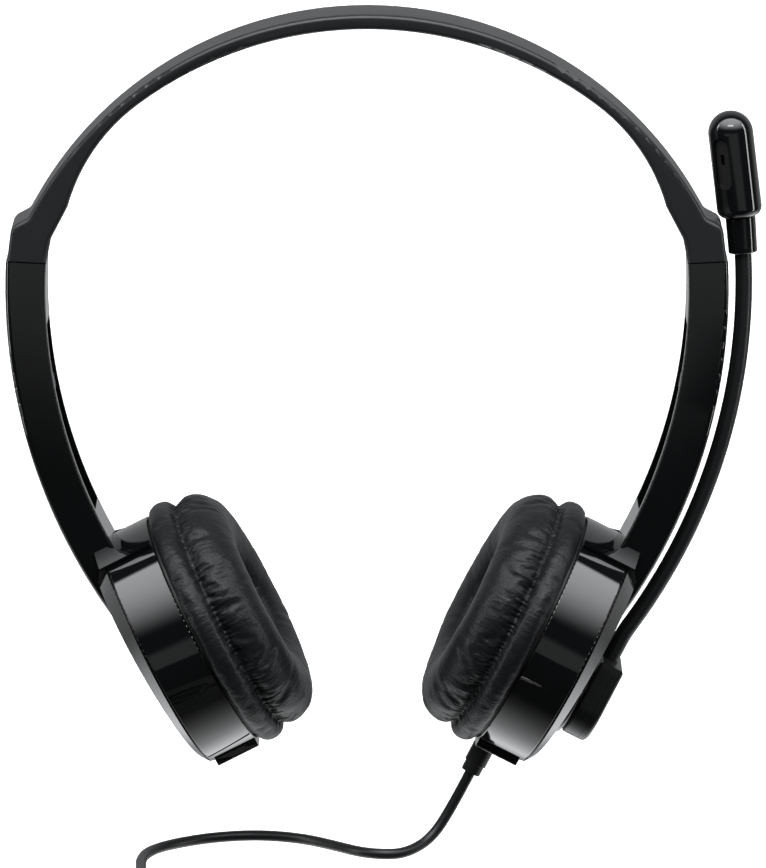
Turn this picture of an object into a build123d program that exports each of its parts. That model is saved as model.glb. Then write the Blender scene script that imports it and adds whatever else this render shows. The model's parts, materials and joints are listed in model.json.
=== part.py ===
from build123d import *
import os
from math import acos, asin, atan2, cos, degrees, pi, radians, sin, sqrt, tan

# Office headset, millimetres. X is the wearer-facing view's right, Y runs to the back, Z is up.
# The origin is the middle of the headband's underside, where the head carries it.
# The microphone side is +X. The -X side is its mirror image without boom and cord.

# Headband
band_radius = 87.0          # underside at the top
side_radius = 44.0          # tighter bend of the underside above each end block
top_angle = 36.7            # where the two bends meet, from straight up
side_angle = 74.4           # where the tighter bend ends, from straight up
band_thickness = 3.5        # at the top; it grows towards the ends
band_width = 18.0           # front to back
block_step_x = 5.0          # the end block's underside steps out by this
block_step_z = 12.8         # and ends this far below the bend
shoulder_height = 12.4      # outer shoulder above the seam
band_edge = 1.1             # rounding of the long edges
liner_width = 10.0
liner_thickness = 0.95
liner_play = 0.05
wire_groove = 3.0           # width of the groove under the liner
wire_radius = 0.7

# Arms: ring sections about an axis that runs front to back
arm_inner_radius = 121.8
arm_thickness = 9.2
seam_angle = 3.2            # seam with the headband, above the arm axis
seam_gap = 0.14             # degrees
arm_wall = 1.8
arm_edge = 1.3              # rounding of the outer long edges
arm_lip_edge = 0.5          # and of the inner ones
arm_meets_cup = 1.5         # degrees past the tilt where the arm's inner face reaches the rim plane
channel_end_angle = -24.6
retainer_end_angle = -3.6
retainer_thickness = 1.3
block_inset = 0.3           # the band's block stands in from the arm's outer face

# Slider tongue, fixed in the headband and held in the arm's channel
tongue_inner = 2.2          # from the arm's inner face
tongue_thickness = 3.0
tongue_width = 12.0
tongue_socket = 3.3         # degrees of tongue inside the headband's block
tongue_play = 0.1
slide_travel = 6.0          # degrees
lug_angle = 1.5             # stop lug's length, degrees
notch_radius = 0.7
notch_pitch = 1.1           # degrees
notch_count = 6

# Ear cups, about an axis that leans from the horizontal
cup_tilt = 27.0
cup_radius = 28.6
cup_wall = 1.8
cup_depth = 8.8             # the wall runs from here
cup_rim = -3.0              # to here, where the cap closes it
cup_edge = 0.35             # rounding of the wall's two outer edges
cap_slope = 1.4             # the cap narrows by this for each mm outwards
cap_face = 5.9              # the cap's outer face, at the cup's centre
cap_face_lean = 2.7         # degrees
cap_wall = 1.8
pad_boss_width = 14.0       # boss at the bottom of the wall, where a cord may leave
pad_boss_height = 0.9
wing_angle = 31.0
wing_thickness = 1.1
wing_depth = 8.4
wing_root = -4.6
wing_notch = 10.0
wing_notch_half = 4.0
cup_screw_circle = 22.4
cup_boss_radius = 2.2
cup_screw_radius = 1.0
cup_screw_head = 1.9
cup_screw_reach = 4.6       # into the cap
fit_gap = 0.05

# Inside a cup
baffle_thickness = 1.95
pad_ring_inner = 20.0
pad_ring_outer = 27.3
pad_ring_height = 1.8
driver_radius = 20.0
driver_depth = 3.5
magnet_radius = 10.0
magnet_depth = 4.9
mesh_thickness = 0.45
port_radius = 1.1

# Cushions
cushion_radius = 30.0
crown_radius = 28.85
crest_radius = 19.5         # where the crown is highest
cushion_hole = 11.0
skirt_top = 14.7
crown_top = 25.3
cushion_gap = 0.3

# Boom and its pivot, on the +X cup
hub_drop = 9.7              # pivot below the cup's centre
hub_radius = 9.3
hub_face = 8.0              # from the cup's rim plane, outwards
rotor_radius = 8.6
neck_radius = 4.2
neck_height = 11.4          # rotor's flat top above the pivot
rotor_outer = 14.4
rotor_split = 12.3
spigot_radius = 3.2
running_gap = 0.06
rivet_radius = 2.3
rivet_bore = 1.5
boom_radius = 1.95
boom_bore = 1.1
boom_wire_radius = 0.6
boom_gap = 1.75             # between the boom and the arm's outer face
boom_bend = 30.0            # small bend above the rotor
boom_axis_depth = 10.9      # boom centre line in the rotor, from the rim plane
boom_top_angle = 3.35
collar_radius = 3.3
collar_length = 8.2
collar_lean = 4.5
collar_socket = 5.0
mic_radius = 5.15
mic_length = 24.6
mic_lean = 7.0
mic_wall = 0.9
mic_foot_round = 2.2
mic_slot_length = 12.0
mic_slot_width = 3.9
mic_slot_turn = 35.0        # from straight ahead towards the head
mic_slot_depth = 0.6

# Cord
cord_radius = 1.25
boot_radius = 2.6
boot_tip_radius = 2.3
boot_depth = 5.6            # boot's centre from the cup's rim plane
coil_centre = (-31.0, -73.0)
coil_inner = 7.5
coil_outer = 22.5
coil_height = 7.6
floor_height = -193.25      # surface that the free cord lies on
plug_radius = 3.5           # grip
plug_grip_length = 19.0
plug_pin_radius = 1.75
plug_pin_length = 14.0

cord_height = floor_height + cord_radius
boot_end = (23.8703, 0.0, -174.0507)
cord_route = [
    boot_end,
    (19.7844, 0.0, -182.0698),
    (14.9, -1.4, -189.6),
    (9.0, -6.0, cord_height),
    (3.5, -7.2, cord_height),
    (-2.0, -4.6, cord_height),
    (-7.4, 1.6, cord_height),
    (-15.2, 9.2, cord_height),
    (-25.4, 12.8, cord_height),
    (-35.6, 10.3, cord_height),
    (-43.9, 4.6, cord_height),
    (-49.9, -2.4, cord_height),
    (-52.3, -12.0, cord_height),
    (-51.4, -27.0, cord_height),
    (-52.6, -42.5, cord_height),
    (-53.0, -54.5, cord_height),
    (-47.8, -63.5, cord_height),
]
tail_route = [
    (-30.0, -93.5, cord_height),
    (-21.0, -97.6, cord_height),
    (-12.5, -96.6, floor_height + plug_radius),
    (-4.5, -94.6, floor_height + plug_radius),
]

pieces = {}


def radial(angle, radius):
    """Offset along a direction given in degrees from +X towards +Z."""
    return Vector(radius * cos(radians(angle)), 0, radius * sin(radians(angle)))


# Places worked out from the driving dimensions
top_centre = Vector(0, 0, -band_radius)
side_centre = top_centre + radial(90 - top_angle, band_radius - side_radius)
bend_end = side_centre + radial(90 - side_angle, side_radius)
seam_inner = bend_end + Vector(block_step_x, 0, -block_step_z)
arm_centre = seam_inner - radial(seam_angle, arm_inner_radius)
arm_outer_radius = arm_inner_radius + arm_thickness
arm_rim_drop = cup_tilt + arm_meets_cup
tongue_low = arm_inner_radius + tongue_inner
tongue_high = tongue_low + tongue_thickness
channel_radius = arm_outer_radius - arm_wall
channel_half = tongue_width / 2 + 1.2
lug_top_angle = retainer_end_angle - slide_travel - 0.1
tongue_end_angle = lug_top_angle - lug_angle

rim_top = arm_centre + radial(-arm_rim_drop, arm_inner_radius)
cup_up = Vector(sin(radians(cup_tilt)), 0, cos(radians(cup_tilt)))
cup_in = Vector(-cos(radians(cup_tilt)), 0, sin(radians(cup_tilt)))
cup_centre = rim_top - cup_up * cup_radius
cup_plane = Plane(origin=cup_centre, x_dir=cup_up, z_dir=cup_in)
pivot_up = -hub_drop


def on_arm(radius, angle):
    return arm_centre + radial(angle, radius)


def in_cup(up, depth, across=0.0):
    return cup_centre + cup_up * up + cup_in * depth + Vector(0, across, 0)


def arc(centre, radius, start, end):
    stops = [centre + radial(angle, radius) for angle in (start, (start + end) / 2, end)]
    return ThreePointArc(*stops)


def slab(edges, half_width):
    outline = Wire([edge for line in edges for edge in line.edges()])
    return extrude(Face(outline), amount=half_width, dir=(0, 1, 0), both=True)


def sector(inner, outer, start, end, half_width):
    edges = [
        arc(arm_centre, outer, start, end),
        Line(on_arm(outer, end), on_arm(inner, end)),
        arc(arm_centre, inner, end, start),
        Line(on_arm(inner, start), on_arm(outer, start)),
    ]
    return slab(edges, half_width)


def cup(shape):
    return cup_plane.location * shape


def disc(radius, low, high, up=0.0, across=0.0):
    """A cylinder along the cup's axis, in the cup's own frame."""
    return Pos(up, across, (low + high) / 2) * Cylinder(radius, high - low)


def ring(inner, outer, low, high, up=0.0, across=0.0):
    return disc(outer, low, high, up, across) - disc(inner, low - 1, high + 1, up, across)


def turned(points):
    """A profile of (radius, depth) corners turned about the cup's axis."""
    corners = [Vector(radius, 0, depth) for radius, depth in points]
    edges = [Line(corners[i], corners[(i + 1) % len(corners)]) for i in range(len(corners))]
    return revolve(Face(Wire(edges)), Axis.Z)


def mirrored(shape):
    return mirror(shape, about=Plane.YZ)


def keep(name, shape):
    pieces[name] = shape


def keep_pair(name, shape):
    pieces[name + "_r"] = shape
    pieces[name + "_l"] = mirrored(shape)


def both_sides(shape):
    return [shape, mirrored(shape)]


def as_group(shapes):
    solids = []
    for shape in shapes:
        solids += shape.solids()
    return Compound(children=solids)


# ---- Headband ----

def underside(depth):
    """Edges of the +X half of the underside, moved into the band by depth."""
    return [
        arc(top_centre, band_radius + depth, 90, 90 - top_angle),
        arc(side_centre, side_radius + depth, 90 - top_angle, 90 - side_angle),
    ]


def underside_strip(low, high, half_width):
    top_low = Vector(0, 0, low)
    top_high = Vector(0, 0, high)
    end_low = side_centre + radial(90 - side_angle, side_radius + low)
    end_high = side_centre + radial(90 - side_angle, side_radius + high)
    edges = underside(high) + [Line(end_high, end_low)] + underside(low) + [Line(top_low, top_high)]
    half = slab(edges, half_width)
    return half + mirrored(half)


def make_headband():
    outer_centre = Vector(0, 0, band_thickness - band_radius)
    shoulder_z = seam_inner.Z + shoulder_height
    leave_angle = degrees(asin((shoulder_z - outer_centre.Z) / band_radius))
    leave = outer_centre + radial(leave_angle, band_radius)
    seam_outer = on_arm(arm_outer_radius - block_inset, seam_angle)
    hollow = leave + radial(leave_angle - 90, 2.4)
    corner = Vector(seam_outer.X - 1.0, 0, seam_outer.Z + 7.8)
    step = Vector(seam_inner.X - 1.1, 0, seam_inner.Z + 5.4)
    outline = [
        arc(outer_centre, band_radius, 90, leave_angle),
        FilletPolyline(leave, hollow, corner, seam_outer, radius=[2.2, 2.8]),
        Line(seam_outer, seam_inner),
        FilletPolyline(seam_inner, step, bend_end, radius=3.0),
    ] + underside(0) + [Line((0, 0, 0), (0, 0, band_thickness))]
    half = slab(outline, band_width / 2)
    band = half + mirrored(half)
    long_edges = band.edges().filter_by(lambda e: abs(abs(e.center().Y) - band_width / 2) < 0.01)
    long_edges = long_edges.filter_by(lambda e: e.center().Z > seam_inner.Z + 1.0)
    band = fillet(long_edges, band_edge)
    band -= underside_strip(-1.0, liner_thickness + liner_play, liner_width / 2 + liner_play)
    band -= underside_strip(0.5, liner_thickness + 2 * wire_radius + 0.3, wire_groove / 2)
    socket = sector(
        tongue_low - tongue_play, tongue_high + tongue_play, seam_angle - 1, seam_angle + tongue_socket,
        tongue_width / 2 + tongue_play)
    rest = Pos(*arm_centre) * Rot(90, 0, 0) * Torus(boom_line_radius, mic_radius + 0.45)
    rest = rest & (Pos(arm_centre.X + boom_line_radius, 0, arm_centre.Z) * Box(40, 30, 80))
    hole = screw_axis_shape(cup_screw_radius + fit_gap, -5.0, tongue_inner + 1.0)
    head = screw_axis_shape(cup_screw_head + fit_gap, -5.0, 0.9)
    for shape in [socket, rest, hole, head]:
        for side in both_sides(shape) if shape is not rest else [rest]:
            band -= side
    return band


def screw_axis_shape(radius, low, high):
    """Cylinders along the two tongue screws, from the arm's inner face outwards."""
    angle = seam_angle + tongue_socket * 0.5
    shapes = []
    for across in (-3.2, 3.2):
        start = on_arm(arm_inner_radius + low, angle) + Vector(0, across, 0)
        plane = Plane(origin=start, z_dir=radial(angle, 1))
        shapes.append(plane.location * Pos(0, 0, (high - low) / 2) * Cylinder(radius, high - low))
    return shapes[0] + shapes[1]


boom_line_radius = arm_outer_radius + boom_gap + boom_radius
keep("headband", make_headband())
keep("headband_liner", underside_strip(0.0, liner_thickness, liner_width / 2))


def make_crossover_wire():
    depth = liner_thickness + wire_radius + 0.1
    half = underside(depth)
    path = Wire(half)
    start = Plane(origin=(0, 0, depth), z_dir=(1, 0, 0))
    tube = sweep(Face(Wire(Edge.make_circle(wire_radius, plane=start))), path=path)
    return tube + mirrored(tube)


keep("crossover_wire", make_crossover_wire())


# ---- Slider tongues ----

def make_tongue():
    tongue_top = seam_angle + tongue_socket - 0.1
    tongue = sector(tongue_low, tongue_high, tongue_end_angle, tongue_top, tongue_width / 2)
    lug_half = tongue_width / 3
    tongue += sector(arm_inner_radius + 0.5, tongue_low + 0.5, tongue_end_angle, lug_top_angle, lug_half)
    for index in range(notch_count):
        angle = lug_top_angle + 1.4 + index * notch_pitch
        place = on_arm(tongue_low - 0.3, angle)
        tongue -= Pos(*place) * Rot(90, 0, 0) * Cylinder(notch_radius, tongue_width / 2)
    return tongue - screw_axis_shape(cup_screw_radius + fit_gap, 0.0, tongue_inner + tongue_thickness + 1)


keep_pair("slider_tongue", make_tongue())
tongue_screw = screw_axis_shape(cup_screw_radius, 0.0, tongue_inner + tongue_thickness - 0.3)
tongue_screw += screw_axis_shape(cup_screw_head, 0.0, 0.85)
keep("tongue_screws", as_group(both_sides(tongue_screw)))


# ---- Arms with the cup caps ----

face_lean = radians(cap_face_lean)
face_up = cup_up * cos(face_lean) - cup_in * sin(face_lean)
face_out = cup_in * (-cos(face_lean)) - cup_up * sin(face_lean)
face_centre = in_cup(0, -cap_face)


def on_cap_face(distance):
    return face_centre + face_up * distance


def make_cap():
    reach = 12.0
    low = cup_rim - fit_gap
    edge = cup_radius - 0.1
    outer = cup(turned([
        (0, low), (edge - cup_edge, low), (edge, low - cup_edge),
        (edge - cap_slope * reach, low - cup_edge - reach),
        (0, low - cup_edge - reach)]))
    cut = Plane(origin=face_centre, z_dir=face_out)
    return outer - cut.location * Pos(0, 0, 15) * Box(90, 90, 30)


def cap_cavity():
    floor = cap_wall + 0.7 - cap_face
    start = cup_radius - cup_wall
    inside = start - cap_slope * (cup_rim - floor)
    return cup(turned([(0, 0.5), (start, 0.5), (start, cup_rim), (inside, floor), (0, floor)]))


def make_wings():
    skin = ring(cup_radius + fit_gap, cup_radius + wing_thickness, wing_root, wing_depth)
    up = cup_radius * 1.5 * cos(radians(wing_angle))
    across = cup_radius * 1.5 * sin(radians(wing_angle))
    wedge_face = Face(Wire([
        Line((0, 0), (up, -across)), Line((up, -across), (up, across)), Line((up, across), (0, 0)),
    ]))
    skin = skin & extrude(wedge_face, amount=40, dir=(0, 0, 1), both=True)
    notch = Box(60, 2 * wing_notch_half, 2 * wing_notch)
    for side in (-wing_notch_half, wing_notch_half):
        notch += Pos(0, side, 0) * Rot(0, 90, 0) * Cylinder(wing_notch, 60)
    return cup(skin - Pos(30, 0, wing_depth - 1.2) * notch)


def make_arm_shell():
    offset = face_centre - arm_centre
    along = offset.dot(face_up)
    landing = -along - sqrt(along ** 2 - offset.dot(offset) + arm_outer_radius ** 2)
    landing_point = on_cap_face(landing)
    relative = landing_point - arm_centre
    landing_angle = degrees(atan2(relative.Z, relative.X))
    low = -8.0
    outline = [
        arc(arm_centre, arm_outer_radius, seam_angle - seam_gap, landing_angle),
        Line(landing_point, on_cap_face(low)),
        Line(on_cap_face(low), in_cup(low, 0)),
        Line(in_cup(low, 0), rim_top),
        arc(arm_centre, arm_inner_radius, -arm_rim_drop, seam_angle - seam_gap),
        Line(on_arm(arm_inner_radius, seam_angle - seam_gap), on_arm(arm_outer_radius, seam_angle - seam_gap)),
    ]
    arm = slab(outline, band_width / 2)
    long_edges = arm.edges().filter_by(
        lambda e: abs(abs(e.center().Y) - band_width / 2) < 0.01 and e.length > 20)
    halfway = arm_inner_radius + arm_thickness * 0.6
    arm = fillet(long_edges.filter_by(lambda e: (e.center() - arm_centre).length > halfway), arm_edge)
    long_edges = arm.edges().filter_by(
        lambda e: abs(abs(e.center().Y) - band_width / 2) < 0.01 and e.length > 20)
    arm = fillet(long_edges.filter_by(lambda e: (e.center() - arm_centre).length < halfway), arm_lip_edge)
    arm -= cup(disc(cup_radius + fit_gap, cup_rim - fit_gap, cup_depth))
    cap = make_cap()
    arm = arm + cap + make_wings()
    arm -= cap_cavity()
    channel = sector(arm_inner_radius - 3, channel_radius, channel_end_angle, seam_angle + 1, channel_half)
    arm -= channel
    wire_in = on_arm(arm_inner_radius + 4.4, channel_end_angle + 0.8)
    wire_out = in_cup(cup_radius * 0.66, -3.7)
    arm -= rod(wire_in, wire_out, 1.2)
    for up, across in screw_places():
        arm += cup(disc(cup_boss_radius, -cap_face, cup_rim - fit_gap, up, across)) & cap
        arm -= cup(disc(cup_screw_radius + fit_gap, -cup_screw_reach - 0.2, 0.5, up, across))
    return arm


def rod(start, end, radius):
    along = end - start
    plane = Plane(origin=start, z_dir=along)
    return plane.location * Pos(0, 0, along.length / 2) * Cylinder(radius, along.length)


def screw_places():
    places = []
    for turn in (90, 210, 330):
        way = radians(turn + 60)
        places.append((cup_screw_circle * cos(way), cup_screw_circle * sin(way)))
    return places


arm_shell = make_arm_shell()
arm_shell_r = arm_shell - cup(disc(rivet_radius + 0.1, -cap_face - 2, 0, pivot_up))
keep("arm_shell_r", arm_shell_r)
keep("arm_shell_l", mirrored(arm_shell))
keep_pair("slide_retainer", sector(
    arm_inner_radius, arm_inner_radius + retainer_thickness, retainer_end_angle, seam_angle - seam_gap,
    channel_half - fit_gap))


def make_detent():
    low = arm_inner_radius + retainer_thickness
    middle = (retainer_end_angle + seam_angle) / 2
    leaf = sector(low + 0.02, low + 0.32, middle - 2.2, middle + 2.2, tongue_width / 5)
    bump = Pos(*on_arm(low + 0.1, middle - 1.2)) * Rot(90, 0, 0) * Cylinder(0.62, tongue_width / 3)
    return leaf + (bump & sector(low + 0.02, low + 0.78, middle - 2.2, middle + 2.2, tongue_width / 5))


keep_pair("detent_spring", make_detent())


def make_arm_lead():
    start = on_arm(arm_inner_radius + 4.4, tongue_end_angle - 1.5)
    first = on_arm(arm_inner_radius + 4.4, channel_end_angle + 0.9)
    last = in_cup(cup_radius * 0.66, -3.5)
    middle = on_arm(arm_inner_radius + 4.4, (tongue_end_angle - 1.5 + channel_end_angle + 0.9) / 2)
    path = FilletPolyline(start, middle, first, last, radius=[40.0, 2.0])
    plane = Plane(origin=start, z_dir=path % 0)
    return sweep(Face(Wire(Edge.make_circle(boom_wire_radius, plane=plane))), path=path)


keep_pair("arm_lead", make_arm_lead())


# ---- Cup housings and what they hold ----

def make_housing():
    wall = disc(cup_radius, cup_rim, cup_depth)
    wall = fillet(wall.edges().filter_by(GeomType.CIRCLE), cup_edge)
    wall -= disc(cup_radius - cup_wall, cup_rim - 1, cup_depth + 1)
    boss_low = cup_rim + 2 * cup_edge
    boss_high = cup_depth - 2 * cup_edge
    boss = Pos(-cup_radius + 1.5, 0, (boss_low + boss_high) / 2) * Box(
        2 * (1.5 + pad_boss_height), pad_boss_width, boss_high - boss_low)
    boss_edges = boss.edges().filter_by(Axis.Z).filter_by(lambda e: e.center().X < -cup_radius)
    boss = fillet(boss_edges, 0.5)
    boss -= disc(cup_radius - cup_wall, -5, cup_depth + 5)
    wall += boss
    floor = cup_depth - baffle_thickness - fit_gap
    for up, across in screw_places():
        turn = degrees(atan2(across, up))
        rib_end = cup_radius - 0.5
        rib = Rot(0, 0, turn) * Pos((cup_screw_circle + rib_end) / 2, 0, (boss_low + floor) / 2) * Box(
            rib_end - cup_screw_circle, 1.4, floor - boss_low)
        wall += disc(cup_boss_radius, cup_rim, floor, up, across) + rib
        wall -= disc(cup_screw_radius + fit_gap, cup_rim - 1, cup_depth + 1, up, across)
    return wall


housing = make_housing()
boot_hole = Pos(-cup_radius, 0, boot_depth) * Rot(0, 90, 0) * Cylinder(boot_radius - 0.7, 12)
keep("cup_housing_r", cup(housing - boot_hole))
keep("cup_housing_l", mirrored(cup(housing)))


def make_baffle():
    low = cup_depth - baffle_thickness
    plate = disc(cup_radius - cup_wall - 0.1, low, cup_depth)
    for count, circle in ((1, 0.0), (6, 5.0), (12, 10.0), (18, 15.0)):
        for index in range(count):
            turn = 2 * pi * index / count
            plate -= disc(port_radius, low - 1, cup_depth + 1, circle * cos(turn), circle * sin(turn))
    for up, across in screw_places():
        plate -= disc(cup_screw_radius + fit_gap, low - 1, cup_depth + 1, up, across)
        plate -= disc(cup_screw_head + fit_gap, cup_depth - 1.1, cup_depth + 1, up, across)
    return plate


keep_pair("driver_baffle", cup(make_baffle()))
keep_pair("cushion_ring", cup(ring(
    pad_ring_inner, pad_ring_outer, cup_depth + fit_gap, cup_depth + fit_gap + pad_ring_height)))


def make_driver_basket():
    top = cup_depth - baffle_thickness - fit_gap
    low = top - driver_depth
    basket = disc(driver_radius, low, top) - disc(driver_radius - 1.2, low + 1.0, top + 1)
    basket -= disc(magnet_radius + 0.1, low - 1, top)
    for index in range(4):
        turn = pi / 4 + index * pi / 2
        basket -= disc(1.8, low - 1, low + 2, 14.4 * cos(turn), 14.4 * sin(turn))
    return basket


basket_floor = cup_depth - baffle_thickness - fit_gap - driver_depth
keep_pair("driver_basket", cup(make_driver_basket()))
keep_pair("driver_magnet", cup(disc(magnet_radius, basket_floor + 1.0 - magnet_depth, basket_floor + 1.0)))
coil_foot = basket_floor + 1.05
keep_pair("voice_coil", cup(ring(magnet_radius - 1.4, magnet_radius - 0.8, coil_foot, coil_foot + 0.9)))
dome = basket_floor + 2.2
keep_pair("diaphragm", cup(turned([
    (0, dome + 1.0), (magnet_radius * 0.6, dome + 0.7), (magnet_radius * 0.9, dome + 0.1),
    (driver_radius * 0.72, dome + 0.8), (driver_radius - 1.4, dome + 0.5),
    (driver_radius - 1.4, dome + 0.2), (driver_radius * 0.72, dome + 0.5),
    (magnet_radius * 0.9, dome - 0.2), (magnet_radius * 0.6, dome + 0.4), (0, dome + 0.7)])))
board = Pos(driver_radius * 0.75, 0, basket_floor - 0.55) * Box(5.0, 9.0, 1.0)
keep_pair("terminal_board", cup(board))
mesh_foot = cup_depth + fit_gap
keep_pair("ear_mesh", cup(disc(pad_ring_inner - 0.3, mesh_foot, mesh_foot + mesh_thickness)))


def make_cup_screws():
    shapes = []
    for up, across in screw_places():
        shank = disc(cup_screw_radius, -cup_screw_reach, cup_depth - 1.0, up, across)
        shapes.append(cup(shank + disc(cup_screw_head, cup_depth - 1.05, cup_depth - 0.05, up, across)))
    return as_group(shapes)


keep_pair("cup_screws", make_cup_screws())


# ---- Cushions ----

def make_cushion():
    foot = cup_depth + cushion_gap
    lip = cup_depth + fit_gap + pad_ring_height + cushion_gap
    groove = skirt_top + 0.7
    profile = [
        (pad_ring_outer + cushion_gap, foot), (cushion_radius - 1.4, foot), (cushion_radius, foot + 1.6),
        (cushion_radius, skirt_top - 1.4), (cushion_radius - 1.4, skirt_top), (crown_radius - 1.2, groove),
        (crown_radius, groove + 2.6), (crown_radius - 0.55, groove + 5.1), (crown_radius - 2.45, crown_top - 2.8),
        (crown_radius - 5.55, crown_top - 1.0), (crest_radius, crown_top), (cushion_hole + 4.3, crown_top - 0.6),
        (cushion_hole + 1.3, crown_top - 2.3), (cushion_hole, crown_top - 5.0), (cushion_hole, lip + 4.0),
        (cushion_hole + 0.4, lip), (pad_ring_outer + cushion_gap, lip),
    ]
    return turned(profile)


keep_pair("ear_cushion", cup(make_cushion()))


# ---- Boom pivot ----

cap_side = Plane(origin=face_centre, z_dir=face_out).location * Pos(0, 0, -15) * Box(90, 90, 30)


def make_hub():
    hub = cup(disc(hub_radius, -hub_face, -cap_face + 3, pivot_up)) - cap_side
    top = hub.edges().filter_by(GeomType.CIRCLE).sort_by(lambda e: (e.center() - cup_centre).dot(cup_in))[0]
    hub = fillet([top], 0.7)
    hub += cup(disc(spigot_radius, -hub_face - 3.2, -hub_face + 0.5, pivot_up))
    return hub - cup(disc(rivet_radius + 0.05, -hub_face - 8, 2, pivot_up))


keep("boom_hub", make_hub())
washer = ring(spigot_radius + 0.2, hub_radius - 2.2, -hub_face - 0.4, -hub_face - 0.05, pivot_up)
keep("friction_washer", cup(washer))
rivet = disc(rivet_radius, -hub_face - 3.8, -2.4, pivot_up)
rivet += disc(spigot_radius + 1.3, -hub_face - 3.8, -hub_face - 3.3, pivot_up)
keep("pivot_rivet", cup(rivet - disc(rivet_bore, -hub_face - 9, 2, pivot_up)))
keep("pivot_clip", cup(ring(rivet_radius + 0.05, rivet_radius + 1.6, -3.3, -2.7, pivot_up)))


def teardrop(outer, inner):
    """The boom rotor's outline between two depths outside the rim plane."""
    with BuildSketch() as outline:
        with BuildLine():
            big = Pos(pivot_up, 0) * CenterArc((0, 0), rotor_radius, 0, 360)
            small = Pos(pivot_up + neck_height - neck_radius + 1.6, 0) * CenterArc((0, 0), neck_radius, 0, 360)
            add(big)
            add(small)
        make_hull()
    body = Pos(0, 0, -outer) * extrude(outline.sketch, amount=outer - inner)
    flat = Pos(pivot_up + neck_height + 10, 0, 0) * Box(20, 60, 60)
    return body - flat


rotor_base = hub_face + 0.45


def make_rotor():
    rotor = teardrop(rotor_split, rotor_base)
    low_edges = rotor.edges().filter_by(lambda e: abs(e.center().Z + rotor_base) < 0.01)
    rotor = fillet(low_edges, 0.7)
    rotor -= disc(spigot_radius + running_gap, -rotor_split - 1, 0, pivot_up)
    rotor -= disc(spigot_radius + 1.6, -rotor_split - 1, -hub_face - 3.0, pivot_up)
    return rotor


def make_rotor_cover():
    cover = teardrop(rotor_outer, rotor_split + fit_gap)
    top_edges = cover.edges().filter_by(lambda e: abs(e.center().Z + rotor_outer) < 0.01)
    return fillet(top_edges, 1.1)


boom_foot = in_cup(pivot_up + spigot_radius + 2.0, -boom_axis_depth)
boom_right = Vector(cos(radians(cup_tilt)), 0, -sin(radians(cup_tilt)))
toward = arm_centre - boom_foot
bend_reach = boom_line_radius + boom_bend
low_angle = -cup_tilt - degrees(acos((boom_bend - toward.dot(boom_right)) / bend_reach))
bend_centre = arm_centre + radial(low_angle, bend_reach)
bend_start = bend_centre - boom_right * boom_bend
bend_stop = on_arm(boom_line_radius, low_angle)
boom_top = on_arm(boom_line_radius, boom_top_angle)
boom_end_way = Vector(-sin(radians(boom_top_angle)), 0, cos(radians(boom_top_angle)))


def boom_path(extra):
    way = bend_centre - boom_right * boom_bend
    middle_way = ((bend_start - bend_centre) + (bend_stop - bend_centre)).normalized()
    return Wire([
        Line(boom_foot, way),
        ThreePointArc(way, bend_centre + middle_way * boom_bend, bend_stop),
        arc(arm_centre, boom_line_radius, low_angle, boom_top_angle),
        Line(boom_top, boom_top + boom_end_way * extra),
    ])


def boom_sweep(radius, extra):
    plane = Plane(origin=boom_foot, z_dir=cup_up)
    return sweep(Face(Wire(Edge.make_circle(radius, plane=plane))), path=boom_path(extra))


rotor_bore = rod(boom_foot - cup_up * 0.2, boom_foot + cup_up * 20, boom_radius + fit_gap)
keep("boom_rotor", cup(make_rotor()) - rotor_bore)
keep("rotor_cover", cup(make_rotor_cover()) - rotor_bore)
keep("boom_tube", boom_sweep(boom_radius, collar_socket) - boom_sweep(boom_bore, collar_socket))
keep("boom_wire", boom_sweep(boom_wire_radius, collar_socket))


def lean(angle):
    return Vector(-sin(radians(angle)), 0, cos(radians(angle)))


collar_base = boom_top
collar_plane = Plane(origin=collar_base, x_dir=(cos(radians(collar_lean)), 0, sin(radians(collar_lean))),
                     z_dir=lean(collar_lean))
mic_base = collar_base + lean(collar_lean) * (collar_length + 0.05)
mic_plane = Plane(origin=mic_base, x_dir=(cos(radians(mic_lean)), 0, sin(radians(mic_lean))), z_dir=lean(mic_lean))


def make_collar():
    sleeve = Pos(0, 0, collar_length / 2) * Cone(collar_radius, collar_radius + 0.15, collar_length)
    sleeve = fillet(sleeve.edges().sort_by(Axis.Z)[:1], 0.35)
    bore = rod(boom_top - boom_end_way * 2, boom_top + boom_end_way * (collar_socket + 0.2), boom_radius + fit_gap)
    above = mic_plane.location * Pos(0, 0, 5 - 0.05) * Box(20, 20, 10)
    return collar_plane.location * sleeve - bore - above


def mic_body(radius, foot, top_round, low, high):
    body = Pos(0, 0, (low + high) / 2) * Cylinder(radius, high - low)
    ends = body.edges().filter_by(GeomType.CIRCLE).sort_by(Axis.Z)
    body = fillet([ends[-1]], top_round)
    ends = body.edges().filter_by(GeomType.CIRCLE).sort_by(Axis.Z)
    return fillet([ends[0]], foot)


def slot_shape(length, width, near, far):
    """An upright oval prism that faces the mic's slot, between two distances from the mic's axis."""
    oval = extrude(SlotOverall(length, width), amount=far - near)
    turn = -90 - mic_slot_turn
    return Pos(0, 0, mic_length * 0.53) * Rot(0, 0, turn) * Pos(near, 0, 0) * Rot(0, 90, 0) * oval


def make_mic_shell():
    shell = mic_body(mic_radius, mic_foot_round, mic_radius - 0.05, 0, mic_length)
    shell -= mic_body(mic_radius - mic_wall, 0.8, mic_radius - mic_wall - 0.05, mic_wall, mic_length - mic_wall)
    shell -= slot_shape(mic_slot_length, mic_slot_width, mic_radius - mic_wall - 1, mic_radius + 1)
    return shell


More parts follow.
